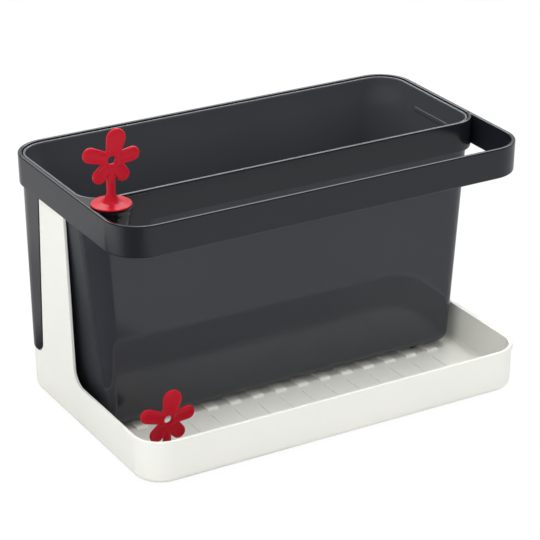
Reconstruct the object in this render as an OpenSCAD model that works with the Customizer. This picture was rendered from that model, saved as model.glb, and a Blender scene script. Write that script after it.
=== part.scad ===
// Rinse basket with a towel rail. A white drip stand carries a dark rail frame, a smoky basket
// drops in through the frame's collar, and two flower plugs close the drain and wait in a cup.
// Origin: middle of the frame in plan, on the worktop. X runs along the length, Y to the back.

/* [Rail frame] */
// Length of the frame over its band
frame_l = 281.2; // [260:0.1:300]
// Depth of the frame, from its back to the face of the towel rail
frame_w = 157.4; // [150:0.1:165]
// Height of the frame's top above the worktop
frame_top = 161.5; // [155:0.1:180]
// Height of the band
band_h = 19.8; // [17:0.1:22]
// Wall of the band
band_wall = 2.6; // [2.4:0.1:2.8]
// Radius of the band's four corners
band_r = 22.5; // [20:0.1:25]
// Rounding of the band's top and bottom edges
band_edge = 0.9; // [0.5:0.1:0.95]
// Wall of the collar in front of the basket
collar_wall = 2; // [1.8:0.1:2.4]
// Radius of the basket mouth's front corners
mouth_front_r = 17; // [15:0.1:19]
// Space between the towel rail and the collar
towel_gap = 46.6; // [43:0.1:50]
// Width of each leg that runs down the stand, at the band
leg_w = 35.4; // [31:0.1:37]
// Width of each leg at its foot
leg_foot_w = 21.4; // [18.2:0.1:22]
// Thickness of each leg
leg_t = 1.3; // [1.1:0.1:1.5]
// Height of the legs' lower ends above the worktop
leg_foot_z = 30.2; // [29.6:0.1:45]
// Radius of the legs' lower corners
leg_r = 9; // [6:0.1:9]

/* [Drip stand] */
// How far the tray's ends lie inside the frame's ends
stand_in = 6.4; // [6:0.1:6.6]
// How far the tray's front rim reaches out past the towel rail
tray_out = 12.2; // [9:0.1:20]
// How far the stand's back wall lies inside the frame's back, at the tray's rim
back_in = 3.1; // [2.8:0.1:3.3]
// Height of the tray's rim
tray_h = 28.5; // [24:0.1:31]
// Wall of the stand
stand_wall = 2.1; // [2:0.1:2.2]
// Lean of the stand's walls, in degrees
stand_draft = 0.98; // [0.9:0.01:1.05]
// Lean of the side walls above the tray's rim, in degrees
tower_draft = 2.45; // [2.4:0.01:2.6]
// Corner radius of the stand at the front
stand_front_r = 19; // [16:0.5:22]
// Corner radius of the stand at the back, at the tray's rim
stand_back_r = 16; // [15:0.5:18]
// Corner radius of the stand at the back, at its top
tower_back_r = 26.2; // [24:0.1:27]
// Rounding of the stand's bottom edge
stand_edge = 5; // [4:0.1:6]
// Thickness of the tray's floor
floor_t = 3.6; // [3.4:0.1:4]
// How far the side walls start behind the basket's front, at their top
side_set = 29.7; // [27:0.1:38]
// Slant of the side walls' front edges, in degrees
side_slant = -1.85; // [-3:0.05:1]
// Radius of the sweep from the side walls down to the rim
side_sweep = 10; // [6:0.5:20]
// How far the lip at the tray's right end stands out
lip_out = 1.2; // [0.8:0.1:1.5]
// Height of that lip
lip_h = 3; // [2:0.1:4]

/* [Tray floor] */
// Distance between the ribs
rib_pitch = 16.4; // [16:0.1:17]
// Width of a rib
rib_w = 7.9; // [6:0.1:9]
// Height of the ribs under the basket
rib_h = 1.3; // [1:0.1:1.6]
// How far the ribs start behind the basket's front
rib_set = 1; // [0.5:0.1:6]
// How far the ribs end in front of the stand's back
rib_short = 20; // [16:1:30]
// Distance of the last rib from the tray's right end
rib_in = 24.6; // [23:0.1:26]
// Width of the low strips in front of the basket
strip_w = 9.8; // [8:0.1:10.4]
// Height of those strips
strip_h = 0.6; // [0.4:0.1:1]
// How far the strips end in front of the basket
strip_set = 3.9; // [3:0.1:8]
// Depth of the dish round the drain
dish_h = 1.4; // [1:0.1:1.6]

/* [Basket] */
// Clearance between the basket's rim and the collar
rim_gap = 0.3; // [0.2:0.05:0.4]
// How far the basket's rim lies below the frame's top
rim_drop = 2; // [1:0.1:3]
// Wall of the basket
basket_wall = 2; // [1.6:0.1:2.2]
// Lean of the basket's ends and back, in degrees
basket_draft = 5.5; // [5.3:0.05:6]
// Lean of the basket's front, in degrees
basket_front_draft = 1.2; // [0.8:0.05:1.5]
// Corner radius of the basket's front at its bottom
basket_front_r = 5.6; // [5:0.1:9]
// Corner radius of the basket's back at its bottom
basket_back_r = 13; // [9:0.5:16]
// Rounding of the basket's bottom edge
basket_edge = 8.4; // [7:0.1:10]
// Height of the basket's feet, which stand between the tray's ribs
foot_h = 2.7; // [2.4:0.1:3.2]
// Radius of a foot
foot_r = 3; // [2.4:0.1:3.4]
// Length of the ledge inside the basket's right end
ledge_l = 39.5; // [30:0.5:44]
// Height of that ledge
ledge_h = 2.7; // [2:0.1:3]

/* [Flower plugs] */
// Radius of the plug's red disc
disc_r = 12.2; // [11.8:0.1:12.3]
// Radius of the stem
stem_r = 2.65; // [2.4:0.05:3]
// Height of the flower's eye above the disc's underside
eye_h = 27.6; // [26:0.1:32]
// Reach of the longest petal from the eye
flower_r = 19.3; // [17:0.1:20]
// Thickness of the petals
petal_t = 2.8; // [2.4:0.1:3.4]
// Radius of the eye
eye_r = 2.5; // [2:0.1:2.8]
// Radius of the rubber seal
seal_r = 8.5; // [8:0.1:8.6]
// Thickness of the rubber seal
seal_t = 1.7; // [1.2:0.1:1.7]
// Clearance round the seal
seal_gap = 0.3; // [0.2:0.05:0.4]
// Distance of the parked plug from the frame's end
cup_in = 13.8; // [13.6:0.1:14.5]
// Distance of the parked plug from the basket's front
cup_set = 11.4; // [11.3:0.1:12.5]
// Radius of the cup's barrel
cup_r = 10.6; // [10.2:0.1:10.7]
// Radius of the cup's lip at the front
cup_lip_r = 12.5; // [11.5:0.1:12.6]
// Depth of the cup
cup_h = 18; // [14:0.5:19]
// Distance of the tray's drain from the tray's left end
drain_in = 26.1; // [24:0.1:30]
// Distance of the tray's drain from the tray's front
drain_set = 24.7; // [20:0.1:28]

/* [Hidden] */
$fn = 64;

// Steps in a quarter circle of a lofted outline, and in a lofted rounding
corner_steps = 8;
edge_steps = 4;
// Overrun of every cut, a fixed share of the band's wall
over = band_wall / 4;

// Frame
band_z = frame_top - band_h;
band_draft = 1.2;
band_box = [-frame_l / 2, frame_l / 2, -frame_w / 2, frame_w / 2];
mouth_y = -frame_w / 2 + band_wall + towel_gap + collar_wall;
mouth_box = [-frame_l / 2 + band_wall, frame_l / 2 - band_wall, mouth_y, frame_w / 2 - band_wall];
mouth_back_r = band_r - band_wall;
seat_gap = rim_gap;

// Stand
stand_l = frame_l - 2 * stand_in;
stand_front = frame_w / 2 + tray_out;
stand_back = frame_w / 2 - back_in;
side_front = mouth_y + side_set;
stand_top = band_z - seat_gap;
stand_box = [-stand_l / 2, stand_l / 2, -stand_front, stand_back];
stand_r = [stand_front_r, stand_front_r, stand_back_r];

// Basket, from the mouth inwards
rim_z = frame_top - rim_drop;
basket_z = floor_t + foot_h;
neck_z = band_z + band_h * 0.6;
flare_z = rim_z - basket_wall;
rim_back_r = mouth_back_r - rim_gap;
neck_back_r = max(tower_back_r - stand_wall, rim_back_r);

// Pad on the collar beside the cup
pad_out = collar_wall / 2;

// Plugs and what they stand in
cup_x = -frame_l / 2 + cup_in;
cup_y = mouth_y - cup_set;
drain_x = -stand_l / 2 + drain_in;
drain_y = -stand_front + drain_set;
drain_r = seal_r + seal_gap;
drain_floor = floor_t - dish_h;

// Ribs of the tray's floor
rib_first = stand_l / 2 - rib_in;
rib_count = floor((stand_l - 2 * rib_in) / rib_pitch) + 1;

// Petals: angle in degrees, then reach, end radius and root radius as shares of flower_r
petal_shares = [[75.7, 0.676, 0.323, 0.207], [158.6, 0.749, 0.248, 0.197], [227.5, 0.607, 0.239, 0.16],
    [305.5, 0.605, 0.233, 0.215], [367, 0.696, 0.235, 0.205]];
// Distance of the petals' root circles from the eye, as a share of flower_r
root_share = 0.131;

// Lofts

// Quarter circle of an outline, anticlockwise from angle a
function quarter(x, y, r, a) =
    [for (i = [0:corner_steps]) let (t = a + 90 * i / corner_steps) [x + r * cos(t), y + r * sin(t)]];

// Rounded outline of box b = [x0, x1, y0, y1] with corner radii r = [front left, front right, back]
function outline(b, r) = concat(
    quarter(b[1] - r[2], b[3] - r[2], r[2], 0), quarter(b[0] + r[2], b[3] - r[2], r[2], 90),
    quarter(b[0] + r[0], b[2] + r[0], r[0], 180), quarter(b[1] - r[1], b[2] + r[1], r[1], 270));

// Box b drawn in by e at both ends, by f at the front and by g at the back
function drawn(b, e, f, g) = [b[0] + e, b[1] - e, b[2] + f, b[3] - g];

// Ring of a loft at height z, with box b and radii r drawn in by d all round
function ring(b, r, d, z) =
    [for (p = outline(drawn(b, d, d, d), [for (q = r) max(q - d, q / 8)])) [p.x, p.y, z]];

// Closed solid through a list of rings with equal numbers of points
module loft(rings) {
    n = len(rings[0]);
    m = len(rings);
    side = [for (k = [0:m - 2], i = [0:n - 1]) let (j = (i + 1) % n)
        each [[k * n + i, (k + 1) * n + i, (k + 1) * n + j], [k * n + i, (k + 1) * n + j, k * n + j]]];
    low_cap = [for (i = [0:n - 1]) i];
    high_cap = [for (i = [0:n - 1]) m * n - 1 - i];
    polyhedron(points = [for (r = rings) each r], faces = concat([low_cap], side, [high_cap]));
}

// Offsets and heights of a quarter round of radius e that starts flat at height z and ends upright
function foot_round(e, z) =
    [for (i = [0:edge_steps]) let (t = 90 * i / edge_steps) [e * (1 - sin(t)), z + e * (1 - cos(t))]];

// The same for a rounded top edge that ends flat at height z
function top_round(e, z) =
    [for (i = [0:edge_steps]) let (t = 90 * i / edge_steps) [e * (1 - cos(t)), z - e * (1 - sin(t))]];

// Frame

function band_lean(z) = (frame_top - z) * tan(band_draft);

// Outer form of the band, rounded at its top and bottom edges
module band_solid() {
    r = [band_r, band_r, band_r];
    loft(concat(
        [for (s = foot_round(band_edge, band_z)) ring(band_box, r, s[0] + band_lean(s[1]), s[1])],
        [for (s = top_round(band_edge, frame_top)) ring(band_box, r, s[0] + band_lean(s[1]), s[1])]));
}

// Cut for an opening with rounded upper and lower edges, box b and radii r
module opening_cut(b, r) {
    e = band_edge;
    loft([ring(b, r, -e - over, band_z - over), ring(b, r, -e * 0.3, band_z + e * 0.3),
        ring(b, r, 0, band_z + e), ring(b, r, 0, frame_top - e),
        ring(b, r, -e * 0.3, frame_top - e * 0.3), ring(b, r, -e - over, frame_top + over)]);
}

// Plan of the collar: what stays between the basket's mouth and the towel gap
module collar_plan() {
    c = mouth_front_r;
    w = collar_wall;
    x0 = mouth_box[0] + c;
    x1 = mouth_box[1] - c;
    translate([x0, mouth_y - w]) square([x1 - x0, c + w]);
    for (x = [x0, x1]) translate([x, mouth_y + c]) circle(r = c + w);
    translate([mouth_box[0] - w, mouth_y + c]) square([mouth_box[1] - mouth_box[0] + 2 * w, frame_w]);
}

// Plan of the web that fills the corner behind the plug's cup
module web_plan() {
    translate([mouth_box[0] - over, cup_y + seat_gap]) square([cup_r + over, frame_w]);
}

// Plan of the gap between the towel rail and the collar
module gap_plan() {
    r = band_r - band_wall;
    x0 = mouth_box[0];
    x1 = mouth_box[1];
    y0 = -frame_w / 2 + band_wall;
    difference() {
        union() {
            translate([x0 + r, y0]) square([x1 - x0 - 2 * r, r]);
            for (x = [x0 + r, x1 - r]) translate([x, y0 + r]) circle(r = r);
            translate([x0, y0 + r]) square([x1 - x0, towel_gap + mouth_front_r - r]);
        }
        collar_plan();
        web_plan();
    }
}

// Raised pad on the collar beside the cup
module collar_pad() {
    pad_l = cup_r * 2.8;
    pad_r = collar_wall * 2;
    tab = collar_wall * 1.5;
    pad_h = band_h + tab - collar_wall * 0.7;
    translate([cup_x, mouth_y - collar_wall + over, band_z - tab]) rotate([90, 0, 0])
        linear_extrude(pad_out + over) union() {
            square([pad_l - pad_r, pad_h]);
            square([pad_l, pad_h - pad_r]);
            translate([pad_l - pad_r, pad_h - pad_r]) circle(r = pad_r);
        }
}

// Sheet that follows the outside of the stand, drawn in from its wall by d0 to d1
module stand_sheet(d0, d1) {
    difference() {
        loft([stand_ring(d0, -over), stand_ring(d0, tray_h), stand_ring(d0, frame_top)]);
        loft([stand_ring(d1, -over * 2), stand_ring(d1, tray_h), stand_ring(d1, frame_top + over)]);
    }
}

// Prism that cuts a leg out of such a sheet, wider by g all round than the leg itself: its back edge
// is upright, its front edge leans so that the leg gets wider towards the band
module leg_prism(g, low, top) {
    lean = 13;
    reach = stand_back_r * 2;
    r = leg_r + g;
    foot = leg_foot_w / 2 + g;
    taper = (leg_w - leg_foot_w) / (band_z - leg_foot_z - leg_r);
    wide = foot + (top - low - r) * taper;
    translate([-stand_l / 2 + stand_back_r, stand_back - stand_back_r, 0]) rotate([90, 0, -90 - lean])
        translate([leg_foot_w * 0.13, 0, 0]) linear_extrude(reach) union() {
            polygon([[-foot, low + r], [foot, low + r], [wide, top], [-foot, top]]);
            translate([-foot + r, low]) square([2 * (foot - r), r + over]);
            for (x = [-foot + r, foot - r]) translate([x, low + r]) circle(r = r);
        }
}

leg_proud = leg_t * 0.3;
leg_gap = seat_gap;
leg_side_gap = seat_gap * 2.5;
root_h = band_h * 0.3;

// One leg, on the left, with a root that joins it to the band
module leg() {
    intersection() {
        stand_sheet(-leg_proud, leg_t - leg_proud);
        leg_prism(0, leg_foot_z, band_z + root_h);
    }
    intersection() {
        difference() {
            band_solid();
            loft([stand_ring(leg_t - leg_proud, band_z - over), stand_ring(leg_t - leg_proud, frame_top)]);
        }
        leg_prism(0, leg_foot_z, band_z + root_h);
    }
}

module rail_frame() {
    color([0.22, 0.23, 0.25]) difference() {
        union() {
            difference() {
                band_solid();
                opening_cut(mouth_box, [mouth_front_r, mouth_front_r, mouth_back_r]);
                translate([0, 0, band_z - over]) linear_extrude(band_h + 2 * over) gap_plan();
            }
            collar_pad();
            leg();
            mirror([1, 0, 0]) leg();
        }
        cup_seat();
    }
}

// Cup that holds the parked plug

cup_bottom = frame_top - cup_h;
cup_lip_h = band_edge * 1.2;

// Room for the cup's barrel in the frame's corner
module cup_seat() {
    translate([cup_x, cup_y, band_z - over]) cylinder(r = cup_r + seat_gap / 2, h = band_h + 2 * over);
}

// Plan of the free space round the cup, between the band, the web and the collar
module cup_room() {
    left = cup_in - band_wall - seat_gap;
    back = cup_set - collar_wall - pad_out - seat_gap;
    translate([-left, -cup_lip_r]) square([left + over, cup_lip_r]);
    translate([0, -cup_lip_r]) square([cup_lip_r, cup_lip_r + back]);
}

// Cup with a straight barrel behind and a widening bowl with a lip where it is free
module plug_cup() {
    wall = cup_r - drain_r;
    bowl_z = cup_h * 0.3;
    lip_z = cup_h - cup_lip_h;
    color([0.05, 0.05, 0.055]) translate([cup_x, cup_y, cup_bottom]) difference() {
        union() {
            rotate_extrude()
                polygon([[0, 0], [cup_r - wall / 2, 0], [cup_r, wall / 2], [cup_r, cup_h], [0, cup_h]]);
            intersection() {
                rotate_extrude() polygon([[0, bowl_z], [cup_r, bowl_z],
                    [cup_lip_r - wall * 0.35, lip_z - wall], [cup_lip_r - wall * 0.25, lip_z],
                    [cup_lip_r, lip_z], [cup_lip_r, cup_h - cup_lip_h / 4],
                    [cup_lip_r - cup_lip_h / 4, cup_h], [0, cup_h]]);
                linear_extrude(cup_h) cup_room();
            }
        }
        translate([0, 0, wall]) cylinder(r = drain_r, h = cup_h);
        translate([0, 0, -over]) cylinder(r = drain_r / 4, h = wall + 2 * over);
    }
}

// Drip stand

// How far the stand's front and back, and its ends, lie inside their place at the rim
function stand_lean(z) = (tray_h - z) * tan(stand_draft);
function end_lean(z) = (tray_h - z) * tan(z < tray_h ? stand_draft : tower_draft);

// Corner radius of the stand's back at height z
function back_r(z) =
    stand_back_r + max(z - tray_h, 0) * (tower_back_r - stand_back_r) / (stand_top - tray_h);

// Ring of the stand's outside at height z, drawn in by d
function stand_ring(d, z) =
    let (e = end_lean(z), f = stand_lean(z))
    ring(drawn(stand_box, e, f, f), [stand_front_r - f, stand_front_r - f, back_r(z)], d, z);

// Outside of the stand, still full height all round, with its bottom edge rounded
module stand_outer() {
    loft(concat([for (s = foot_round(stand_edge, 0)) stand_ring(s[0], s[1])],
        [stand_ring(0, tray_h), stand_ring(0, stand_top)]));
}

// Hollow of the stand above its floor
module stand_inner() {
    loft(concat([for (s = foot_round(stand_edge - stand_wall, floor_t)) stand_ring(stand_wall + s[0], s[1])],
        [stand_ring(stand_wall, tray_h), stand_ring(stand_wall, stand_top + over)]));
}

// Cut that lowers the front of the stand to the tray's rim and sweeps up to the side walls
module front_cut() {
    y1 = side_front;
    drop = stand_top - tray_h;
    y0 = y1 - drop * tan(side_slant);
    r = side_sweep;
    front = -stand_front - stand_wall * 4;
    translate([-stand_l, 0, 0]) rotate([90, 0, 90]) linear_extrude(2 * stand_l) difference() {
        polygon([[front, tray_h], [y0, tray_h], [y1 + over * tan(side_slant), stand_top + over],
            [front, stand_top + over]]);
        difference() {
            translate([y0 - r, tray_h - over]) square([r + over * 2, r + over]);
            translate([y0 - r, tray_h + r]) circle(r = r);
        }
    }
}

// Lip along the tray's right end, fading at the front corner
module end_lip() {
    z0 = tray_h - lip_h;
    fade = stand_front_r * 0.6;
    intersection() {
        loft([stand_ring(0, z0 - lip_out), stand_ring(-lip_out, z0),
            stand_ring(-lip_out, tray_h - lip_out / 2), stand_ring(-lip_out / 2, tray_h)]);
        translate([stand_l / 2 - stand_front_r, -stand_front + fade, z0 - lip_out])
            cube([stand_front_r * 2, stand_front + side_front - fade, lip_h + lip_out * 2]);
    }
}

// Rib of width w and height h on the floor from y0 to y1, with sloping ends
module floor_rib(y0, y1, w, h) {
    slope = 0.85;
    translate([-w / 2, 0, 0]) rotate([90, 0, 90]) linear_extrude(w)
        polygon([[y0 - over * slope, floor_t - over], [y1 + over * slope, floor_t - over],
            [y1 - h * slope, floor_t + h], [y0 + h * slope, floor_t + h]]);
}

// Ribs under the basket, and low strips in front of it that stop short of the drain
module floor_ribs() {
    strip_front = -stand_front + stand_edge + stand_wall;
    for (i = [0:rib_count - 1]) {
        x = rib_first - i * rib_pitch;
        translate([x, 0, 0]) floor_rib(mouth_y + rib_set, stand_back - rib_short, rib_w, rib_h);
        if (x - strip_w / 2 > drain_x + disc_r + seal_gap + dish_h)
            translate([x, 0, 0]) floor_rib(strip_front, mouth_y - strip_set, strip_w, strip_h);
    }
}

// Dish round the drain, so that the plug's disc seals on flat floor, and the drain itself
module drain_cuts() {
    r = disc_r + seal_gap;
    translate([drain_x, drain_y, drain_floor]) cylinder(r1 = r, r2 = r + dish_h, h = dish_h);
    translate([drain_x, drain_y, -over]) cylinder(r = drain_r, h = floor_t + over);
}

// Channel in the stand's wall for a leg of the frame
module leg_channel() {
    intersection() {
        stand_sheet(-leg_t, leg_t - leg_proud + leg_gap);
        leg_prism(leg_side_gap, leg_foot_z - leg_side_gap, stand_top + over);
    }
}

module drip_stand() {
    color([0.93, 0.93, 0.9]) difference() {
        union() {
            difference() {
                stand_outer();
                stand_inner();
                front_cut();
            }
            difference() {
                end_lip();
                loft([stand_ring(stand_wall / 2, 0), stand_ring(stand_wall / 2, tray_h),
                    stand_ring(stand_wall / 2, stand_top)]);
            }
            floor_ribs();
        }
        leg_channel();
        mirror([1, 0, 0]) leg_channel();
        drain_cuts();
    }
}

// Basket

// Ring of the basket's outside at height z, drawn in by d: upright from the rim down to the neck,
// and below it leaning walls with corners that get tighter towards the bottom
function basket_ring(d, z) =
    let (low = max(neck_z - z, 0), up = (z - basket_z) / (neck_z - basket_z),
        over_neck = min(max((z - neck_z) / (flare_z - neck_z), 0), 1),
        e = rim_gap + low * tan(basket_draft), f = rim_gap + low * tan(basket_front_draft),
        r = basket_front_r + (mouth_front_r - rim_gap - basket_front_r) * min(up, 1),
        q = basket_back_r + (neck_back_r - basket_back_r) * min(up, 1),
        back = q + (rim_back_r - neck_back_r) * over_neck)
    ring(drawn(mouth_box, e, f, e), [r, r, back], d, z);

module basket_shell() {
    w = basket_wall;
    floor_z = basket_z + w;
    loft(concat(
        [for (s = foot_round(basket_edge, basket_z)) basket_ring(s[0], s[1])],
        [basket_ring(0, neck_z), basket_ring(0, (neck_z + flare_z) / 2), basket_ring(0, flare_z)],
        [for (s = top_round(w * 0.3, rim_z)) basket_ring(s[0], s[1])],
        [basket_ring(w * 0.7, rim_z), basket_ring(w, rim_z - w * 0.3)],
        [basket_ring(w, flare_z - w / 2), basket_ring(w, (neck_z + flare_z) / 2), basket_ring(w, neck_z)],
        [for (i = [edge_steps:-1:0]) let (s = foot_round(basket_edge - w, floor_z)[i])
            basket_ring(w + s[0], s[1])]));
}

// Feet that stand on the tray's floor between its ribs
module basket_feet() {
    right = rib_first - rib_pitch / 2;
    left = rib_first - (rib_count - 1.5) * rib_pitch;
    front = mouth_y + foot_r * 5;
    back = stand_back - rib_short - foot_r * 3;
    for (x = [left, right], y = [front, back]) translate([x, y, floor_t])
        cylinder(r = foot_r, h = foot_h + basket_wall / 2);
}

// Ledge inside the right end of the basket
module end_ledge() {
    z = band_z + band_h * 0.21;
    out = basket_wall * 0.5;
    y = mouth_y + mouth_front_r * 1.73;
    x = mouth_box[1] - rim_gap - basket_wall;
    translate([x - out, y + ledge_h / 2, z]) cube([basket_wall * 0.8 + out, ledge_l - ledge_h, ledge_h]);
    for (q = [y + ledge_h / 2, y + ledge_l - ledge_h / 2]) translate([x - out, q, z + ledge_h / 2])
        rotate([0, 90, 0]) cylinder(r = ledge_h / 2, h = basket_wall * 0.8 + out);
}

module basket() {
    hole_x = rib_first - (rib_count - 1.5) * rib_pitch;
    color([0.2, 0.21, 0.22]) difference() {
        union() {
            basket_shell();
            basket_feet();
            end_ledge();
        }
        translate([hole_x, (mouth_y + stand_back) / 2, basket_z - over])
            cylinder(r = drain_r, h = basket_wall + 2 * over);
    }
}

// Flower plugs

// Outline of a petal as points in the flower's plane: a root circle of radius q and an end circle
// of radius p at reach l, both along angle a from the eye and drawn in by d
function petal_ring(a, l, p, q, d, y) =
    let (m = root_share * flower_r, s = asin((p - q) / (l - m)), n = 10)
    [for (i = [0:n]) let (t = a + 90 + s + (180 - 2 * s) * i / n)
        [m * cos(a) + (q - d) * cos(t), y, m * sin(a) + (q - d) * sin(t)],
    for (i = [0:n]) let (t = a - 90 - s + (180 + 2 * s) * i / n)
        [l * cos(a) + (p - d) * cos(t), y, l * sin(a) + (p - d) * sin(t)]];

// One petal: rounded edges, a flat back and a dished front
module petal(a, l, p, q) {
    t = petal_t;
    e = t * 0.45;
    loft([petal_ring(a, l, p, q, e, t / 2), petal_ring(a, l, p, q, e * 0.3, t / 2 - e * 0.3),
        petal_ring(a, l, p, q, 0, t / 2 - e), petal_ring(a, l, p, q, 0, e - t / 2),
        petal_ring(a, l, p, q, e * 0.3, e * 0.3 - t / 2), petal_ring(a, l, p, q, e * 0.8, -t / 2),
        petal_ring(a, l, p, q, q * 0.6, -t * 0.33), petal_ring(a, l, p, q, q * 0.85, -t * 0.27)]);
}

module flower() {
    for (s = petal_shares)
        petal(s[0], s[1] * flower_r, s[2] * flower_r, s[3] * flower_r);
    rotate([90, 0, 0]) translate([0, 0, -petal_t * 0.4]) cylinder(r = eye_r * 1.7, h = petal_t * 0.8);
}

// Red plug that stands on the underside of its disc, with the flower in front of its stem
module plug() {
    t = disc_r * 0.09;
    neck_r = stem_r + seal_gap / 2;
    eye_x = disc_r * 0.04;
    eye_y = -petal_t * 0.32;
    top = eye_h - eye_r * 1.6;
    difference() {
        union() {
            rotate_extrude() polygon([[0, -seal_t], [neck_r, -seal_t], [neck_r, 0], [disc_r - t / 2, 0],
                [disc_r, t / 2], [disc_r - t / 4, t], [disc_r * 0.72, t * 1.35], [disc_r * 0.5, t * 2],
                [disc_r * 0.38, t * 3], [disc_r * 0.28, t * 4.6], [stem_r, t * 7], [stem_r, top - eye_r * 2],
                [stem_r * 0.75, top], [0, top]]);
            translate([eye_x, eye_y, eye_h]) flower();
        }
        translate([eye_x, petal_t * 2, eye_h]) rotate([90, 0, 0]) cylinder(r = eye_r, h = petal_t * 4);
        translate([eye_x, eye_y - petal_t * 0.2, eye_h]) rotate([90, 0, 0])
            cylinder(r1 = eye_r, r2 = eye_r + petal_t * 0.6, h = petal_t * 0.6);
    }
}

// Rubber seal that hangs below the disc round the plug's neck
module seal() {
    neck_r = stem_r + seal_gap / 2;
    c = seal_t / 4;
    rotate_extrude() polygon([[neck_r, -seal_t], [seal_r - c * 2, -seal_t], [seal_r, -seal_t + c],
        [seal_r, -c], [seal_r - c, 0], [neck_r, 0]]);
}

module at_cup() {
    translate([cup_x, cup_y, frame_top + seal_gap / 3]) children();
}

module at_drain() {
    translate([drain_x, drain_y, drain_floor]) children();
}

module parked_plug() { color([0.78, 0.06, 0.14]) at_cup() plug(); }
module parked_plug_seal() { color([0.06, 0.06, 0.065]) at_cup() seal(); }
module tray_plug() { color([0.78, 0.06, 0.14]) at_drain() plug(); }
module tray_plug_seal() { color([0.06, 0.06, 0.065]) at_drain() seal(); }

drip_stand();
rail_frame();
plug_cup();
basket();
parked_plug();
parked_plug_seal();
tray_plug();
tray_plug_seal();
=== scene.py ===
import math

import bmesh
import bpy
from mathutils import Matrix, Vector


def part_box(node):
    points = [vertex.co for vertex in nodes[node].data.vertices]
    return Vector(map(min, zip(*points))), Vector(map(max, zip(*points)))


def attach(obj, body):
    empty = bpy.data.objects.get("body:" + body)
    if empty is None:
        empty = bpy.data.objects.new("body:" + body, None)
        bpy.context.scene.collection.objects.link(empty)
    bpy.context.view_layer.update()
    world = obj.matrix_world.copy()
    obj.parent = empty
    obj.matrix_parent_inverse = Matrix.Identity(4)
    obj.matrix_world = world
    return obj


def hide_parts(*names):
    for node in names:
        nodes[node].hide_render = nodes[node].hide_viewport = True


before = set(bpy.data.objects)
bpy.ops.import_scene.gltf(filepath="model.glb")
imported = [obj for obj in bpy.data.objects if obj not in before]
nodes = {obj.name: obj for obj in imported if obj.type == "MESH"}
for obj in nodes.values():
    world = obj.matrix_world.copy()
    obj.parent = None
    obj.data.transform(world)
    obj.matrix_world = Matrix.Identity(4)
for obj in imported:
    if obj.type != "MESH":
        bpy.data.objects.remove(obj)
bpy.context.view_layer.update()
MM = 0.001

# Camera. Set where the photograph was taken from, 30 degrees to the left and 24 above, and fitted to
# the object's own edges. The picture is square, and a long lens keeps the uprights nearly upright.
image_side = 540.0
camera_place = Vector((-655.7, -1132.6, 664.1)) * MM
camera_aim = Vector((-3.11, -7.78, 80.0)) * MM
camera_data = bpy.data.cameras.new("studio_camera")
camera_data.sensor_width = 36.0
camera_data.lens = 151.97
camera_data.shift_x = -0.22 / image_side
camera_data.shift_y = 0.5 / image_side
camera_data.clip_end = 50
camera = bpy.data.objects.new("studio_camera", camera_data)
bpy.context.collection.objects.link(camera)
camera.location = camera_place
camera.rotation_euler = (camera_aim - camera_place).to_track_quat("-Z", "Y").to_euler()
bpy.context.scene.camera = camera
bpy.context.scene.view_settings.view_transform = "Standard"

# Drip stand. White satin plastic, moulded in one: a shallow tray whose ends sweep up into high side
# walls and a back that carry the frame. Ribs under the basket and low strips in front of it stiffen
# the floor, a dish takes the drain plug, and a channel in each back corner takes a leg.
stand_low, stand_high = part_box("drip_stand")
basket_low, basket_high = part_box("basket")
drain_low, drain_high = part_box("tray_plug_seal")
stand_wall = 2.1 * MM
stand_lean = math.tan(math.radians(0.98))
tower_lean = math.tan(math.radians(2.45))
tray_rim_z = 28.5 * MM
floor_top = 3.6 * MM
foot_edge = 5 * MM
front_corner = 19 * MM
back_corner = 16 * MM
tower_corner = 26.2 * MM
rim_edge = 0.5 * MM
basket_gap = 0.3 * MM
mouth_front = basket_low[1] - basket_gap
tower_h = stand_high[2] - tray_rim_z
stand_half = stand_high[0] - tower_h * tower_lean
stand_back = stand_high[1] - tower_h * stand_lean
stand_front = stand_low[1]
side_edge_top = mouth_front + 29.7 * MM
side_edge_slant = math.tan(math.radians(-1.85))
side_sweep = 10 * MM
side_steps, back_steps, corner_steps = 6, 12, 20


def arc(centre, radius, start, turn, steps):
    """Points of an arc round centre, from the angle start through turn, both in degrees."""
    angles = [math.radians(start + turn * i / steps) for i in range(steps + 1)]
    return [(centre[0] + radius * math.cos(a), centre[1] + radius * math.sin(a)) for a in angles]


def between(first, last, steps):
    """Points on the straight line between two points, without its ends."""
    return [tuple(a + (b - a) * i / steps for a, b in zip(first, last)) for i in range(1, steps)]


def stand_form(z):
    """Half length, back, front and back corner radius of the stand's outside at height z."""
    over = z - tray_rim_z
    half = stand_half + over * (tower_lean if over > 0 else stand_lean)
    corner = back_corner + max(over, 0) / tower_h * (tower_corner - back_corner)
    return half, stand_back + over * stand_lean, stand_front - over * stand_lean, corner


def stand_row(inset, z, swept):
    """Outline of the stand at height z, drawn in by inset, in two parts: the left side wall, the
    back and the right side wall, then the tray's front from right to left. swept is how far the
    side walls' front edges have run back along the sweep."""
    half, back, front, corner = stand_form(z)
    side, back, front = half - inset, back - inset, front + inset
    r_back = corner - inset
    r_front = front_corner + (z - tray_rim_z) * stand_lean - inset
    edge = side_edge_top - (stand_high[2] - z) * side_edge_slant - side_sweep + swept
    left = [(-side, edge)] + between((-side, edge), (-side, back - r_back), side_steps)
    left += arc((-side + r_back, back - r_back), r_back, 180, -90, corner_steps)
    middle = between((-side + r_back, back), (side - r_back, back), back_steps)
    tower = left + middle + [(-x, y) for x, y in reversed(left)]
    right = between((side, edge), (side, front + r_front), side_steps)
    right += arc((side - r_front, front + r_front), r_front, 0, -90, corner_steps)
    middle = between((side - r_front, front), (-side + r_front, front), back_steps)
    tray = right + middle + [(-x, y) for x, y in reversed(right)]
    return [(x, y, z) for x, y in tower], [(x, y, z) for x, y in tray]


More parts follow.
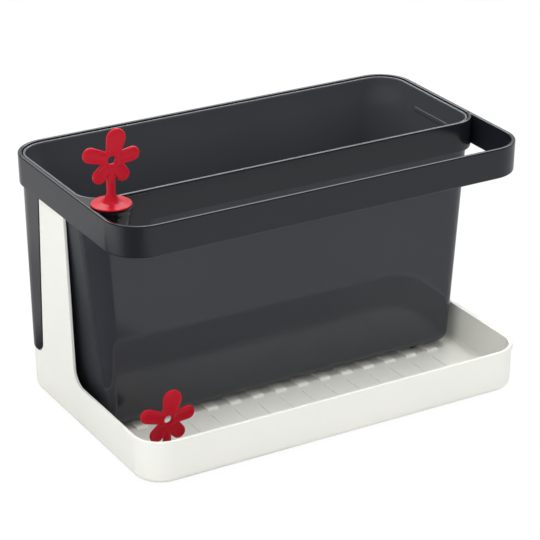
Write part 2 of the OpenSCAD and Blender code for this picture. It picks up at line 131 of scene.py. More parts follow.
def skin(form, first, second, closed):
    """Quads between two rows of vertices."""
    count = len(first)
    for i in range(count if closed else count - 1):
        j = (i + 1) % count
        form.faces.new((first[i], first[j], second[j], second[i]))


def rows_of(form, rows):
    return [[form.verts.new(point) for point in row] for row in rows]


def ease(form, width, over=50):
    """Rounds every edge of a form that is sharper than over degrees."""
    sharp = [e for e in form.edges if len(e.link_faces) == 2 and e.calc_face_angle() > math.radians(over)]
    bmesh.ops.bevel(form, geom=sharp, offset=width, segments=3, profile=0.5, affect="EDGES",
                    clamp_overlap=True)


def piece_of(form, name):
    """Makes a piece of a form, with its faces turned outwards."""
    bmesh.ops.recalc_face_normals(form, faces=form.faces)
    mesh = bpy.data.meshes.new(name)
    form.to_mesh(mesh)
    form.free()
    piece = bpy.data.objects.new(name, mesh)
    bpy.context.collection.objects.link(piece)
    return piece


def settle(piece):
    """Applies the piece's modifiers to its mesh."""
    graph = bpy.context.evaluated_depsgraph_get()
    mesh = bpy.data.meshes.new_from_object(piece.evaluated_get(graph))
    piece.modifiers.clear()
    piece.data = mesh


def combine(piece, tool, operation):
    """Joins tool to a piece, or cuts the piece with it, and takes the tool away."""
    modifier = piece.modifiers.new("combine", "BOOLEAN")
    modifier.operation = operation
    modifier.solver = "EXACT"
    modifier.object = tool
    settle(piece)
    bpy.data.objects.remove(tool)


def smooth(piece, angle=32):
    """Shades a piece smooth, with edges above the angle kept sharp and flat faces kept flat."""
    form = bmesh.new()
    form.from_mesh(piece.data)
    bmesh.ops.remove_doubles(form, verts=form.verts, dist=0.002 * MM)
    for face in form.faces:
        face.smooth = True
    for edge in form.edges:
        edge.smooth = len(edge.link_faces) == 2 and edge.calc_face_angle() < math.radians(angle)
    form.to_mesh(piece.data)
    form.free()
    shading = piece.modifiers.new("flat_faces_stay_flat", "WEIGHTED_NORMAL")
    shading.keep_sharp = True
    shading.weight = 100


def lathe(form, centre, profile, steps=96, closed=False, limit=None):
    """Turns a profile of (radius, height) round centre. Where it is open, its ends are closed by
    flat faces. limit gives the largest radius at an angle."""
    rows = []
    for radius, height in profile:
        row = []
        for i in range(steps):
            turn = 2 * math.pi * i / steps
            r = min(radius, limit(turn)) if limit else radius
            row.append((centre[0] + r * math.cos(turn), centre[1] + r * math.sin(turn), centre[2] + height))
        rows.append(row)
    rows = rows_of(form, rows)
    for first, second in zip(rows, rows[1:]):
        skin(form, first, second, True)
    if closed:
        skin(form, rows[-1], rows[0], True)
    else:
        form.faces.new(rows[0])
        form.faces.new(rows[-1])


form = bmesh.new()
quarter = [math.radians(90 * i / 8) for i in range(9)]
low_rows = [(foot_edge * (1 - math.sin(t)), foot_edge * (1 - math.cos(t))) for t in quarter]
floor_edge = foot_edge - stand_wall
inner_rows = [(stand_wall + floor_edge * (1 - math.sin(t)), floor_top + floor_edge * (1 - math.cos(t)))
              for t in quarter]
sweep_rows = [(tray_rim_z + side_sweep * (1 - math.cos(t)), side_sweep * math.sin(t)) for t in quarter[1:]]
top_rows = [(tray_rim_z + side_sweep + (tower_h - side_sweep) * i / 4, side_sweep) for i in range(1, 5)]
outer = rows_of(form, [sum(stand_row(d, z, 0), []) for d, z in low_rows + [(0, tray_rim_z)]])
inner = rows_of(form, [sum(stand_row(d, z, 0), []) for d, z in inner_rows + [(stand_wall, tray_rim_z)]])
for rows in (outer, inner):
    for first, second in zip(rows, rows[1:]):
        skin(form, first, second, True)
    form.faces.new(rows[0])
columns = len(stand_row(0, tray_rim_z, 0)[0])
around = len(outer[0])
outer_wall = [outer[-1][:columns]]
outer_wall += rows_of(form, [stand_row(0, z, s)[0] for z, s in sweep_rows + top_rows])
inner_wall = [inner[-1][:columns]]
inner_wall += rows_of(form, [stand_row(stand_wall, z, s)[0] for z, s in sweep_rows + top_rows])
for rows in (outer_wall, inner_wall):
    for first, second in zip(rows, rows[1:]):
        skin(form, first, second, False)
skin(form, outer_wall[-1], inner_wall[-1], False)
for column in (0, -1):
    skin(form, [row[column] for row in outer_wall], [row[column] for row in inner_wall], False)
front = [i % around for i in range(columns - 1, around + 1)]
skin(form, [outer[-1][i] for i in front], [inner[-1][i] for i in front], False)
bmesh.ops.recalc_face_normals(form, faces=form.faces)
ease(form, rim_edge)
stand = piece_of(form, "drip_tray_stand")

rib_pitch = 16.4 * MM
rib_half, rib_h = 3.95 * MM, 1.3 * MM
rib_front = mouth_front + 1.0 * MM
strip_half, strip_h = 4.9 * MM, 0.6 * MM
strip_front = stand_front + foot_edge + stand_wall
strip_back = mouth_front - 3.9 * MM
rib_slope, rib_ease = 0.85, 0.3
rib_first = stand_half - 24.6 * MM
rib_count = int(2 * rib_first // rib_pitch) + 1
rib_back = stand_back - 20 * MM
drain_x = (drain_low[0] + drain_high[0]) / 2
drain_y = (drain_low[1] + drain_high[1]) / 2
drain_floor = drain_high[2]
drain_r = (drain_high[0] - drain_low[0]) / 2 + basket_gap
dish_r = 12.5 * MM
dish_edge = 1.4 * MM
drain_edge = 0.4 * MM


def rib(form, x, half, front, back, height):
    """A bar across the floor, half wide to each side of x, with sloping ends and rounded edges."""
    sunk = stand_wall / 4
    low = [(x + s * half, y) for s, y in ((-1, front), (1, front), (1, back), (-1, back))]
    run = (height + sunk) * rib_slope
    high = [(a, b + (run if b == front else -run)) for a, b in low]
    bar = bmesh.new()
    rows = rows_of(bar, [[(a, b, floor_top - sunk) for a, b in low],
                         [(a, b, floor_top + height) for a, b in high]])
    skin(bar, rows[0], rows[1], True)
    for row in rows:
        bar.faces.new(row)
    bmesh.ops.recalc_face_normals(bar, faces=bar.faces)
    ease(bar, height * rib_ease, over=20)
    spare = bpy.data.meshes.new("rib")
    bar.to_mesh(spare)
    bar.free()
    form.from_mesh(spare)
    bpy.data.meshes.remove(spare)


form = bmesh.new()
for i in range(rib_count):
    x = rib_first - i * rib_pitch
    rib(form, x, rib_half, rib_front, rib_back, rib_h)
    if x - strip_half > drain_x + dish_r + dish_edge:
        rib(form, x, strip_half, strip_front, strip_back, strip_h)
combine(stand, piece_of(form, "ribs"), "UNION")

lip_out, lip_h = 1.2 * MM, 3 * MM
form = bmesh.new()
lip_profile = [(0, -lip_h - lip_out), (lip_out * 0.8, -lip_h - lip_out * 0.3), (lip_out, -lip_h),
               (lip_out, -lip_out * 0.5), (lip_out * 0.8, -lip_out * 0.2), (lip_out * 0.5, 0)]
lip_profile += [(-stand_wall * 0.4, 0), (-stand_wall * 0.4, -lip_h - lip_out)]
lip_path = []
for x, y, z in stand_row(0, tray_rim_z, 0)[1]:
    if x > stand_half - front_corner * 0.45 and y < side_edge_top - side_sweep:
        lip_path.append((x, y))
lip_rows = []
for i, (x, y) in enumerate(lip_path):
    end = i / (len(lip_path) - 1)
    fade = min(1, (1 - end) * 3)
    lip_rows.append([(x + out * (fade if out > 0 else 1), y, tray_rim_z + up) for out, up in lip_profile])
lip_rows = rows_of(form, lip_rows)
for first, second in zip(lip_rows, lip_rows[1:]):
    skin(form, first, second, True)
form.faces.new(lip_rows[0])
form.faces.new(lip_rows[-1])
combine(stand, piece_of(form, "end_lip"), "UNION")

form = bmesh.new()
drain_profile = [(drain_r + drain_edge, -MM), (drain_r + drain_edge, 0), (drain_r, drain_edge),
                 (drain_r, drain_floor), (dish_r, drain_floor), (dish_r + dish_edge, floor_top),
                 (dish_r + dish_edge + drain_edge, floor_top + drain_edge)]
lathe(form, (drain_x, drain_y, 0), drain_profile)
combine(stand, piece_of(form, "drain"), "DIFFERENCE")

leg_foot_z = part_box("rail_frame")[0][2]
leg_foot_half = 10.7 * MM
leg_taper = 0.1366
leg_round = 9 * MM
leg_proud = 0.39 * MM
leg_t = 1.3 * MM
leg_middle = 2.8 * MM
leg_turn = math.radians(13)
leg_columns, leg_rows = 24, 12
channel_gap, channel_depth = 0.75 * MM, 0.3 * MM


def on_stand(across, z, out):
    """Point of the stand's left back corner at height z, out proud of it, and across in front of
    the line on which the leg is centred."""
    half, back, front, corner = stand_form(z)
    start = Vector((back_corner - stand_half, stand_back - back_corner))
    start -= Vector((math.sin(leg_turn), math.cos(leg_turn))) * across
    heading = Vector((-math.cos(leg_turn), math.sin(leg_turn)))
    middle = Vector((corner - half, back - corner))
    to_middle = middle - start
    reach = to_middle.dot(heading)
    reach += math.sqrt(max(corner ** 2 - to_middle.length_squared + reach ** 2, 0))
    point = start + heading * reach
    outwards = (point - middle).normalized()
    if point.y < middle.y:
        point = start + heading * ((-half - start.x) / heading.x)
        outwards = Vector((-1, 0))
    elif point.x > middle.x:
        point = start + heading * ((back - start.y) / heading.y)
        outwards = Vector((0, 1))
    return point + outwards * out


def leg_slab(form, side, spread, inside, outside, top):
    """A leg's form on the stand's wall, wider by spread all round: its foot is rounded, its back
    edge upright, and it widens towards the front on its way up."""
    low, foot, turn = leg_foot_z - spread, leg_foot_half + spread, leg_round + spread
    grids = []
    for out in (inside, outside):
        grid = []
        for i in range(leg_columns + 1):
            share = math.sin(math.pi * (i / leg_columns - 0.5))
            beyond = max(abs(share) * foot - (foot - turn), 0)
            foot_z = low + turn - math.sqrt(turn ** 2 - beyond ** 2)
            column = []
            for j in range(leg_rows + 1):
                z = foot_z + (top - foot_z) * j / leg_rows
                front = foot + max(z - low - turn, 0) * leg_taper
                x, y = on_stand(leg_middle - foot + (front + foot) * (share + 1) / 2, z, out)
                column.append((x * side, y, z))
            grid.append(column)
        grids.append(rows_of(form, grid))
    inner, outer = grids
    for grid in grids:
        for first, second in zip(grid, grid[1:]):
            skin(form, first, second, False)
    for k in (0, -1):
        skin(form, inner[k], outer[k], False)
        skin(form, [column[k] for column in inner], [column[k] for column in outer], False)


for side in (1, -1):
    form = bmesh.new()
    leg_slab(form, side, channel_gap, leg_proud - leg_t - channel_depth, leg_t, stand_high[2] + MM)
    combine(stand, piece_of(form, "leg_channel"), "DIFFERENCE")
smooth(stand)


class Shade:
    """A socket of a node tree, or a plain value, that can be written in sums."""

    def __init__(self, tree, socket):
        self.tree = tree
        self.socket = socket

    def node(self, kind, settings=None, out=0, **inputs):
        """Adds a node of that kind. settings are its own; inputs name its sockets, _ for a space."""
        made = self.tree.nodes.new(kind)
        for name, value in (settings or {}).items():
            setattr(made, name, value)
        for name, value in inputs.items():
            key = int(name[1:]) if name[0] == "n" and name[1:].isdigit() else name.replace("_", " ")
            made_socket = made.inputs[key]
            if isinstance(value, Shade):
                self.tree.links.new(value.socket, made_socket)
            else:
                made_socket.default_value = value
        return Shade(self.tree, made.outputs[out])

    def sum(self, operation, *values):
        inputs = {f"n{i}": v for i, v in enumerate(values)}
        return self.node("ShaderNodeMath", {"operation": operation}, **inputs)

    def __add__(self, other):
        return self.sum("ADD", self, other)

    __radd__ = __add__

    def __mul__(self, other):
        return self.sum("MULTIPLY", self, other)

    __rmul__ = __mul__

    def __sub__(self, other):
        return self.sum("SUBTRACT", self, other)

    def __rsub__(self, other):
        return self.sum("SUBTRACT", other, self)

    def at_most(self, limit):
        return self.sum("MINIMUM", self, limit)

    def at_least(self, limit):
        return self.sum("MAXIMUM", self, limit)

    def along(self, line):
        """How far this vector reaches along the line."""
        return self.node("ShaderNodeVectorMath", {"operation": "DOT_PRODUCT"}, out=1, n0=self, n1=line)

    def smooth(self, low, high):
        """0 below low and 1 above high, with a soft step between."""
        settings = {"interpolation_type": "SMOOTHSTEP"}
        return self.node("ShaderNodeMapRange", settings, Value=self, From_Min=low, From_Max=high)

    def blend(self, first, second):
        """Colour first where this value is 0, and second where it is 1."""
        return self.node("ShaderNodeMix", {"data_type": "RGBA"}, out=2, n0=self, n6=first, n7=second)


def new_tree(owner):
    """Empties the tree of a material or world and returns a Shade that adds nodes to it."""
    owner.use_nodes = True
    owner.node_tree.nodes.clear()
    return Shade(owner.node_tree, None)


def finish_tree(shade, surface, kind="ShaderNodeOutputMaterial"):
    output = shade.tree.nodes.new(kind)
    shade.tree.links.new(surface.socket, output.inputs["Surface"])


def moulded(name, colour, drift, roughness, grain, grain_size, walls=None, **more):
    """Injection moulded plastic: its colour drifts slightly, and its surface has a fine spark grain.
    walls gives a point, the colour and roughness of the walls that face it, and how much rougher the
    end walls are, where they rub on the stand. That colour is painted light: a lighter grey in place of
    the sheen that light from above gives the inside walls."""
    material = bpy.data.materials.new(name)
    shade = new_tree(material)
    place = shade.node("ShaderNodeTexCoord", out=3)
    cloud = shade.node("ShaderNodeTexNoise", Vector=place, Scale=12.0, Detail=2.0)
    spark = shade.node("ShaderNodeTexNoise", Vector=place, Scale=1 / grain_size, Detail=2.0)
    drifted = cloud.smooth(0.3, 0.7)

    def with_drift(plain_colour):
        pale, full = ([c * share for c in plain_colour] + [1] for share in (1 - drift, 1 + drift))
        return drifted.blend(pale, full)

    tint = with_drift(colour)
    blotch, speck = 0.08, 0.04
    rough = cloud * blotch + spark * speck + (roughness - (blotch + speck) / 2)
    if walls:
        point, inner_painted_light, inner_roughness, rubbed = walls
        normal = shade.node("ShaderNodeTexCoord", out=1)
        to_point = shade.node("ShaderNodeVectorMath", {"operation": "SUBTRACT"}, n0=point, n1=place)
        # The walls facing the point get painted light, a lighter colour in place of their sheen, and their
        # own roughness.
        inner = normal.along(to_point).smooth(-0.5 * MM, 0.5 * MM)
        tint = inner.blend(tint, with_drift(inner_painted_light))
        facing_end = normal.along((1, 0, 0))
        rubbed_end = facing_end.sum("ABSOLUTE", facing_end).smooth(0.9, 0.99) * rubbed
        rough = rough + inner * (inner_roughness - roughness) + rubbed_end
    bump = shade.node("ShaderNodeBump", Strength=1.0, Distance=1.0, Height=spark * grain)
    surface = shade.node("ShaderNodeBsdfPrincipled", Base_Color=tint, Roughness=rough, Normal=bump, **more)
    finish_tree(shade, surface)
    return material


def dress(piece, material, body, slot, *replaced):
    """Gives a piece its material and the body that it moves with, and hides the parts that it
    replaces. slot is not used.
    """
    piece.data.materials.clear()
    piece.data.materials.append(material)
    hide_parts(*replaced)
    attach(piece, body)


white_plastic = moulded("white_plastic", (0.84, 0.84, 0.79), drift=0.012, roughness=0.42,
                        grain=0.004 * MM, grain_size=0.7 * MM, Specular_IOR_Level=0.3)
dress(stand, white_plastic, "stand", "white_plastic", "drip_stand")

# Rail frame. Anthracite plastic, moulded in one: a band round the basket's mouth and the towel gap,
# whose front is the towel rail, a collar in front of the basket with a pad beside the plug's cup, and
# a leg at each back corner that runs down the stand and clips the frame on.
band_low, band_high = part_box("rail_frame")
cup_low, cup_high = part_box("plug_cup")
band_top = band_high[2]
band_bottom = stand_high[2] + basket_gap
band_wall = 2.6 * MM
band_corner = 22.5 * MM
band_edge = 0.9 * MM
band_lean = math.tan(math.radians(1.2))
collar_wall = 2 * MM
mouth_corner = 17 * MM
mouth_half = band_high[0] - band_wall
mouth_back = band_high[1] - band_wall
gap_front = band_low[1] + band_wall
gap_corner = band_corner - band_wall
cup_barrel = 10.6 * MM
cup_x = cup_low[0] + cup_barrel + basket_gap
cup_y = mouth_front - 11.4 * MM
seat_r = cup_barrel + basket_gap / 2
seat_ends = 178
cut_past = 5 * MM


def rounded_box(x0, x1, y0, y1, front, back, steps=20):
    """Outline of a box with rounded corners, anticlockwise from its right side."""
    corners = ((x1 - back, y1 - back, back, 0), (x0 + back, y1 - back, back, 90),
               (x0 + front, y0 + front, front, 180), (x1 - front, y0 + front, front, 270))
    return sum((arc((x, y), r, turn, 90, steps) for x, y, r, turn in corners), [])


collar_front = mouth_front - collar_wall
collar_round = mouth_corner + collar_wall
collar_end = mouth_half - mouth_corner
horn = math.degrees(math.acos((mouth_half - collar_end) / collar_round))
seat_meets = math.degrees(math.asin((collar_front - cup_y) / seat_r))
gap_outline = arc((mouth_half - gap_corner, gap_front + gap_corner), gap_corner, 270, 90, 20)
gap_outline += arc((collar_end, mouth_front + mouth_corner), collar_round, -horn, horn - 90, 16)
gap_outline += arc((cup_x, cup_y), seat_r, seat_meets, seat_ends - seat_meets, 36)
gap_outline += [(-mouth_half, cup_y + basket_gap)]
gap_outline += arc((-mouth_half + gap_corner, gap_front + gap_corner), gap_corner, 180, 90, 20)
mouth_outline = rounded_box(-mouth_half, mouth_half, mouth_front, mouth_back, mouth_corner, gap_corner)
band_outline = rounded_box(-band_high[0], band_high[0], band_low[1], band_high[1], band_corner, band_corner)


def plate(name, outlines, low, high, edge):
    """A plate between two heights with the given outline and openings, its edges rounded."""
    plan = bpy.data.curves.new(name, "CURVE")
    plan.dimensions = "2D"
    plan.fill_mode = "BOTH"
    plan.extrude = (high - low) / 2 - edge
    plan.bevel_depth = edge
    plan.bevel_resolution = 3
    plan.offset = -edge
    for outline in outlines:
        spline = plan.splines.new("POLY")
        spline.points.add(len(outline) - 1)
        for point, (x, y) in zip(spline.points, outline):
            point.co = (x, y, 0, 1)
        spline.use_cyclic_u = True
    shape = bpy.data.objects.new(name, plan)
    bpy.context.collection.objects.link(shape)
    graph = bpy.context.evaluated_depsgraph_get()
    form = bmesh.new()
    form.from_mesh(bpy.data.meshes.new_from_object(shape.evaluated_get(graph)))
    bpy.data.objects.remove(shape)
    bmesh.ops.remove_doubles(form, verts=form.verts, dist=0.001 * MM)
    for corner in form.verts:
        corner.co.z += (high + low) / 2
    return form


form = plate("band", [band_outline, mouth_outline, gap_outline], band_bottom, band_top, band_edge)
for corner in form.verts:
    x, y = abs(corner.co.x), corner.co.y
    past_x, past_y = x - (band_high[0] - band_corner), abs(y) - (band_high[1] - band_corner)
    reach = math.hypot(max(past_x, 0), max(past_y, 0)) if past_x > 0 and past_y > 0 else max(past_x, past_y)
    if reach > band_corner - 1.5 * MM:
        drawn_in = (band_top - corner.co.z) * band_lean / max(reach, MM)
        if past_x > 0:
            corner.co.x -= math.copysign(past_x * drawn_in, corner.co.x)
        if past_y > 0:
            corner.co.y -= math.copysign(past_y * drawn_in, y)
rail_frame = piece_of(form, "towel_rail_frame")

pad_out, pad_round, pad_edge = 1.0 * MM, 4 * MM, 0.45 * MM
pad_left, pad_right = cup_x + cup_barrel * 0.7, cup_x + cup_barrel * 2.8
pad_low, pad_high = band_bottom - 3 * MM, band_top - 1.4 * MM
pad_outline = [(pad_left, pad_low), (pad_right, pad_low)]
pad_outline += arc((pad_right - pad_round, pad_high - pad_round), pad_round, 0, 90, 12)
pad_outline += [(pad_left, pad_high)]
form = plate("pad", [pad_outline], -pad_out, pad_out, pad_edge)
for corner in form.verts:
    x, z, out = corner.co
    corner.co = (x, collar_front - out, z)
combine(rail_frame, piece_of(form, "cup_pad"), "UNION")
form = bmesh.new()
seat_profile = [(seat_r, -cut_past), (seat_r, band_top - band_bottom + cut_past)]
lathe(form, (cup_x, cup_y, band_bottom), seat_profile)
combine(rail_frame, piece_of(form, "cup_seat"), "DIFFERENCE")

for side in (1, -1):
    form = bmesh.new()
    leg_slab(form, side, 0, leg_proud - leg_t, leg_proud, band_bottom + 3 * MM)
    bmesh.ops.recalc_face_normals(form, faces=form.faces)
    ease(form, 0.35 * MM)
    combine(rail_frame, piece_of(form, "leg"), "UNION")
smooth(rail_frame)

grey_plastic = moulded("grey_plastic", (0.011, 0.0122, 0.0168), drift=0.03, roughness=0.17,
                       grain=0.003 * MM, grain_size=0.55 * MM)
dress(rail_frame, grey_plastic, "stand", "grey_plastic", "rail_frame")

# Cup for the parked plug. Polished black plastic, pressed into the frame's left front corner. Its
# barrel is straight at the back, and in front it widens to a lip under the plug's red disc.
cup_h = cup_high[2] - cup_low[2]
cup_lip = 12.5 * MM
cup_skin = 1.8 * MM
cup_bore = cup_barrel - cup_skin
cup_drain = 2.2 * MM
cup_straight, cup_flare = 0.3, 0.6
cup_room_left = cup_x - cup_low[0]
cup_room_back = 8.1 * MM


def cup_reach(turn):
    """Largest radius that the frame leaves to the cup's lip at an angle."""
    x, y = math.cos(turn), math.sin(turn)
    if y > 0:
        free = cup_room_back / max(y, 0.01) if x > 0 else 0
    else:
        free = cup_room_left / max(-x, 0.01)
    return max(cup_barrel, min(cup_lip, free))


cup_profile = [(cup_drain, 0), (cup_barrel - 0.9 * MM, 0), (cup_barrel - 0.25 * MM, 0.25 * MM),
               (cup_barrel, 0.9 * MM), (cup_barrel, cup_h * cup_straight)]
for i in range(1, 8):
    rise = i / 7
    cup_profile.append((cup_barrel + (cup_lip - 0.55 * MM - cup_barrel) * math.sin(rise * math.pi / 2),
                        cup_h * (cup_straight + cup_flare * rise)))
cup_profile += [(cup_lip - 0.15 * MM, cup_h - 1.0 * MM), (cup_lip, cup_h - 0.8 * MM),
                (cup_lip, cup_h - 0.4 * MM), (cup_lip - 0.12 * MM, cup_h - 0.12 * MM),
                (cup_lip - 0.4 * MM, cup_h), (cup_bore + 0.4 * MM, cup_h),
                (cup_bore + 0.1 * MM, cup_h - 0.1 * MM), (cup_bore, cup_h - 0.4 * MM),
                (cup_bore, cup_skin), (cup_drain, cup_skin)]
form = bmesh.new()
lathe(form, (cup_x, cup_y, cup_low[2]), cup_profile, steps=120, closed=True, limit=cup_reach)
plug_cup = piece_of(form, "parked_plug_cup")
smooth(plug_cup)
black_plastic = moulded("black_plastic", (0.006, 0.006, 0.0066), drift=0.05, roughness=0.1,
                        grain=0.001 * MM, grain_size=0.8 * MM)
dress(plug_cup, black_plastic, "stand", "black_plastic", "plug_cup")

# Basket. Lifts out; polished smoky plastic, moulded with leaning walls and corners that get tighter
# towards its floor. It hangs close in the frame's collar and stands on four feet between the ribs. A
# ledge inside its right end and a hole in its floor for a drain plug belong to it.
basket_wall = 2 * MM
basket_edge = 8.4 * MM
basket_lean = math.tan(math.radians(5.5))
basket_front_lean = math.tan(math.radians(1.2))
basket_rim = band_top - 0.7 * MM
basket_foot = 2.7 * MM
basket_base = basket_low[2] + basket_foot
neck_z = band_bottom + (band_top - band_bottom) * 0.6
neck_ease = 5 * MM
flare_z = basket_rim - basket_wall
basket_lip = basket_wall * 0.45
foot_corner_front, foot_corner_back = 5.6 * MM, 13 * MM
corner_growth, mouth_tightening = 11.1 * MM, 4.5 * MM
least_corner = 0.125


def basket_row(inset, z):
    """Outline of the basket's outside at height z, drawn in by inset."""
    past = max(neck_z + neck_ease - z, 0)
    below = past - neck_ease if past > 2 * neck_ease else past ** 2 / (4 * neck_ease)
    up = min((z - basket_base) / (neck_z - basket_base), 1)
    over_stand = min(max((z - band_bottom) / (flare_z - band_bottom), 0), 1)
    ends, face = below * basket_lean, below * basket_front_lean
    front = foot_corner_front + corner_growth * up
    back = foot_corner_back + corner_growth * up - mouth_tightening * over_stand ** 2 * (3 - 2 * over_stand)
    front, back = (max(corner - inset, corner * least_corner) for corner in (front, back))
    outline = rounded_box(basket_low[0] + ends + inset, basket_high[0] - ends - inset,
                          basket_low[1] + face + inset, basket_high[1] - ends - inset, front, back, 24)
    return [(x, y, z) for x, y in outline]


form = bmesh.new()
turns = [math.radians(90 * i / 12) for i in range(13)]
inner_edge = basket_edge - basket_wall
rows = [basket_row(basket_edge * (1 - math.sin(t)), basket_base + basket_edge * (1 - math.cos(t)))
        for t in turns]
wall_low, wall_high = basket_base + basket_edge, band_bottom - neck_ease
wall_heights = [wall_low + (wall_high - wall_low) * i / 6 for i in range(1, 7)]
wall_heights += [wall_high + (flare_z - wall_high) * i / 10 for i in range(1, 10)]
rows += [basket_row(0, z) for z in wall_heights]
rows += [basket_row(basket_lip * (1 - math.cos(t)), basket_rim - basket_lip * (1 - math.sin(t)))
         for t in quarter]
rows += [basket_row(basket_wall - basket_lip * (1 - math.sin(t)), basket_rim - basket_lip * (1 - math.cos(t)))
         for t in quarter]
rows += [basket_row(basket_wall, z) for z in reversed(wall_heights)]
inner_floor = basket_base + basket_wall
rows += [basket_row(basket_wall + inner_edge * (1 - math.sin(t)),
                    inner_floor + inner_edge * (1 - math.cos(t))) for t in reversed(turns)]
rows = rows_of(form, rows)
for first, second in zip(rows, rows[1:]):
    skin(form, first, second, True)
form.faces.new(rows[0])
form.faces.new(rows[-1])
basket = piece_of(form, "rinse_basket")

foot_r = 3 * MM
last_gap_x = rib_first - (rib_count - 1.5) * rib_pitch
foot_x = [rib_first - rib_pitch / 2, last_gap_x]
foot_y = [mouth_front + foot_r * 5, rib_back - foot_r * 3]
foot_profile = [(foot_r - 0.4 * MM, 0), (foot_r - 0.1 * MM, 0.1 * MM), (foot_r, 0.4 * MM),
                (foot_r, basket_foot + basket_wall / 2)]
form = bmesh.new()
for x in foot_x:
    for y in foot_y:
        lathe(form, (x, y, basket_low[2]), foot_profile, steps=48)
combine(basket, piece_of(form, "feet"), "UNION")

ledge_z, ledge_h, ledge_l = band_bottom + 4.0 * MM, 2.7 * MM, 39.5 * MM
ledge_front = mouth_front + mouth_corner * 1.73
ledge_low, ledge_out, ledge_edge = -1.6 * MM, 0.6 * MM, 0.5 * MM
half_h = ledge_h / 2
ledge_outline = arc((ledge_front + half_h, ledge_z + half_h), half_h, 90, 180, 16)
ledge_outline += arc((ledge_front + ledge_l - half_h, ledge_z + half_h), half_h, -90, 180, 16)
form = plate("ledge", [ledge_outline], ledge_low, ledge_out, ledge_edge)
for corner in form.verts:
    y, z, out = corner.co
    corner.co = (basket_high[0] - basket_wall - out - (neck_z - z) * basket_lean, y, z)
combine(basket, piece_of(form, "ledge"), "UNION")

hole_edge = 0.5 * MM
hole_profile = [(drain_r + hole_edge, -MM), (drain_r + hole_edge, 0), (drain_r, hole_edge),
                (drain_r, basket_wall - hole_edge), (drain_r + hole_edge, basket_wall),
                (drain_r + hole_edge, basket_wall + MM)]
form = bmesh.new()
lathe(form, (last_gap_x, (mouth_front + stand_back) / 2, basket_base), hole_profile)
combine(basket, piece_of(form, "basket_drain"), "DIFFERENCE")
smooth(basket)
over_basket = ((basket_low[0] + basket_high[0]) / 2, (basket_low[1] + basket_high[1]) / 2,
               basket_rim * 1.5)
# The basket's inside walls are painted a lighter grey: painted light, in place of the sheen they get from
# above.
inside_painted_light, inner_roughness, end_rubbing = (0.08, 0.086, 0.096), 0.3, 0.3
smoky_plastic = moulded("smoky_plastic", (0.034, 0.037, 0.045), drift=0.04, roughness=0.1,
                        grain=0.001 * MM, grain_size=0.8 * MM,
                        walls=(over_basket, inside_painted_light, inner_roughness, end_rubbing), Alpha=0.93)
dress(basket, smoky_plastic, "basket_body", "smoky_plastic", "basket")

# Flower plugs. Two alike, of satin red plastic: a thin domed disc, a stem and a five-petal flower with
# an open eye to pull it by. The petals melt into each other with soft fillets and are dished in front.
grain_step = 0.28 * MM
red_plastic = moulded("red_plastic", (0.49, 0.004, 0.018), drift=0.03, roughness=0.32,
                      grain=0.002 * MM, grain_size=0.5 * MM, Specular_IOR_Level=0.2)
for node, body in (("parked_plug", "holder_plug"), ("tray_plug", "drain_plug")):
    plug = bpy.data.objects.new(node + "_flower", nodes[node].data.copy())
    bpy.context.collection.objects.link(plug)
    skin_over = plug.modifiers.new("one_skin", "REMESH")
    skin_over.mode = "VOXEL"
    skin_over.voxel_size = grain_step
    skin_over.use_smooth_shade = True
    soften = plug.modifiers.new("soft_fillets", "SMOOTH")
    soften.factor = 0.5
    soften.iterations = 10
    settle(plug)
    dress(plug, red_plastic, body, "red_plastic", node)
    plug.visible_glossy = body == "holder_plug"

# Rubber seals. A black rubber washer round each plug's neck, which closes the drain or sits in the
# cup: matt, with the dust that rubber picks up.
black_rubber = moulded("black_rubber", (0.012, 0.012, 0.0125), drift=0.25, roughness=0.6,
                       grain=0.006 * MM, grain_size=0.3 * MM)
for node in ("parked_plug_seal", "tray_plug_seal"):
    nodes[node].material_slots[0].material = black_rubber

# Studio. A white paper floor and a white surround, lit by soft boxes on all sides. The floor shows
# white to the camera, and keeps a faint shadow round the tray. Dark flags at the left and a bright
# panel at the back right show only in the polished plastic.
paper = bpy.data.materials.new("white_paper")
paper_nodes = new_tree(paper)
path_nodes = paper_nodes.node("ShaderNodeLightPath").socket.node.outputs
in_view = (Shade(paper.node_tree, path_nodes["Is Camera Ray"])
           + Shade(paper.node_tree, path_nodes["Is Transmission Ray"])).at_most(1)
mirrored = Shade(paper.node_tree, path_nodes["Is Glossy Ray"])
paper_place = paper_nodes.node("ShaderNodeTexCoord", out=3)
heading = paper_nodes.node("ShaderNodeVectorMath", {"operation": "NORMALIZE"}, n0=paper_place)
far_out = paper_nodes.node("ShaderNodeVectorMath", {"operation": "LENGTH"}, out=1, n0=paper_place)


def towards(turn):
    """How squarely a point of the floor lies at that angle round the basket, 1 where it does. The
    angle is anticlockwise from the right, seen from above."""
    return heading.along((math.cos(math.radians(turn)), math.sin(math.radians(turn)), 0))


near_flag = towards(196).smooth(0.5, 0.64) * (1 - far_out.smooth(0.36, 0.41))
far_flag = towards(222).smooth(0.86, 1.0) * 0.8
back_flag = towards(128).smooth(0.7, 0.85) * (1 - far_out.smooth(0.3, 0.36)) * 0.3
flags = near_flag.at_least(back_flag).at_least(far_flag)
left_glow = towards(165).smooth(0.85, 1.0) * far_out.smooth(0.4, 0.46) * 0.6
mirror_level = left_glow + 0.66 - 0.62 * flags
paper_glow = in_view + mirrored * mirror_level
paper_white = paper_nodes.node("ShaderNodeEmission", Color=(1, 1, 1, 1), Strength=paper_glow)
paper_plain = paper_nodes.node("ShaderNodeBsdfDiffuse", Color=(0.9, 0.9, 0.9, 1))
seen_glow = 0.96
shown = in_view * seen_glow + mirrored
finish_tree(paper_nodes, paper_nodes.node("ShaderNodeMixShader", n0=shown, n1=paper_plain, n2=paper_white))

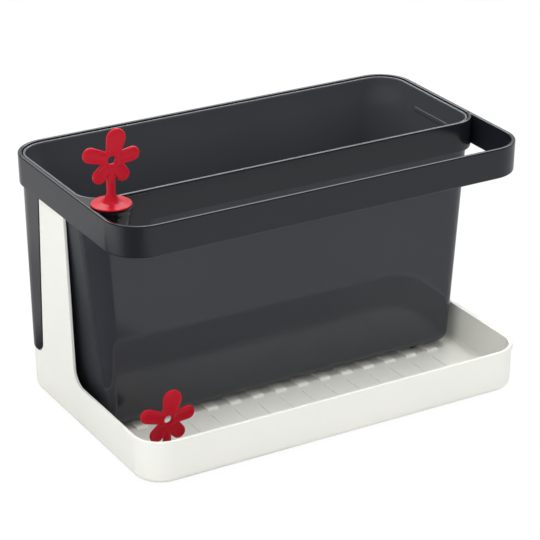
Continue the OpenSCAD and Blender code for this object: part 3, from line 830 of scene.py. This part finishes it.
floor_mesh = bpy.data.meshes.new("studio_floor")
floor_half = 3.0
floor_corners = [(sx * floor_half, sy * floor_half, 0) for sx, sy in ((-1, -1), (1, -1), (1, 1), (-1, 1))]
floor_mesh.from_pydata(floor_corners, [], [(0, 1, 2, 3)])
floor = bpy.data.objects.new("studio_floor", floor_mesh)
floor.location.z = -0.2 * MM
floor_mesh.materials.append(paper)
bpy.context.collection.objects.link(floor)

world = bpy.data.worlds.new("studio_surround")
bpy.context.scene.world = world
sky = new_tree(world)
world_path = sky.node("ShaderNodeLightPath").socket.node.outputs
sky_seen = (Shade(world.node_tree, world_path["Is Camera Ray"])
            + Shade(world.node_tree, world_path["Is Transmission Ray"])).at_most(1)
direction = sky.node("ShaderNodeTexCoord").socket.node.outputs["Generated"]
split = sky.node("ShaderNodeSeparateXYZ", Vector=Shade(world.node_tree, direction)).socket.node.outputs
right, back, up = (Shade(world.node_tree, split[axis]) for axis in "XYZ")
panel = right.smooth(-0.35, -0.1) * back.smooth(0.0, 0.25)
strip = up.smooth(0.48, 0.56) - up.smooth(0.86, 0.92)
sky_level = panel * (0.7 + 5.0 * strip) + 0.03
plain_sky = sky.node("ShaderNodeBackground", Color=(1, 1, 1, 1), Strength=0.68)
white_sky = sky.node("ShaderNodeBackground", Color=(1, 1, 1, 1), Strength=1.0)
glossy = Shade(world.node_tree, world_path["Is Glossy Ray"])
glossy_sky = sky.node("ShaderNodeBackground", Color=(1, 1, 1, 1), Strength=sky_level)
unseen_sky = sky.node("ShaderNodeMixShader", n0=glossy, n1=plain_sky, n2=glossy_sky)
whole_sky = sky.node("ShaderNodeMixShader", n0=sky_seen, n1=unseen_sky, n2=white_sky)
finish_tree(sky, whole_sky, "ShaderNodeOutputWorld")
part_middle = Vector((0, 0, 0.08))


def soft_box(name, place, width, height, watts):
    """A rectangular soft box at place that faces the part, and that no mirror shows."""
    data = bpy.data.lights.new(name, "AREA")
    data.shape = "RECTANGLE"
    data.size = width
    data.size_y = height
    data.energy = watts
    lamp = bpy.data.objects.new(name, data)
    lamp.location = place
    lamp.rotation_euler = (part_middle - Vector(place)).to_track_quat("-Z", "Y").to_euler()
    lamp.visible_glossy = False
    lamp.visible_camera = False
    bpy.context.collection.objects.link(lamp)


soft_box("top_box", (0.0, 0.1, 1.7), width=1.4, height=1.0, watts=21.0)
soft_box("back_box", (0.0, 1.3, 1.3), width=1.4, height=0.8, watts=3.5)
soft_box("right_box", (1.6, -0.5, 0.8), width=1.0, height=1.0, watts=1.5)
soft_box("front_box", (-1.1, -1.35, 0.5), width=1.4, height=0.9, watts=3.0)
soft_box("left_box", (-1.7, 0.0, 0.7), width=1.2, height=0.9, watts=3.5)
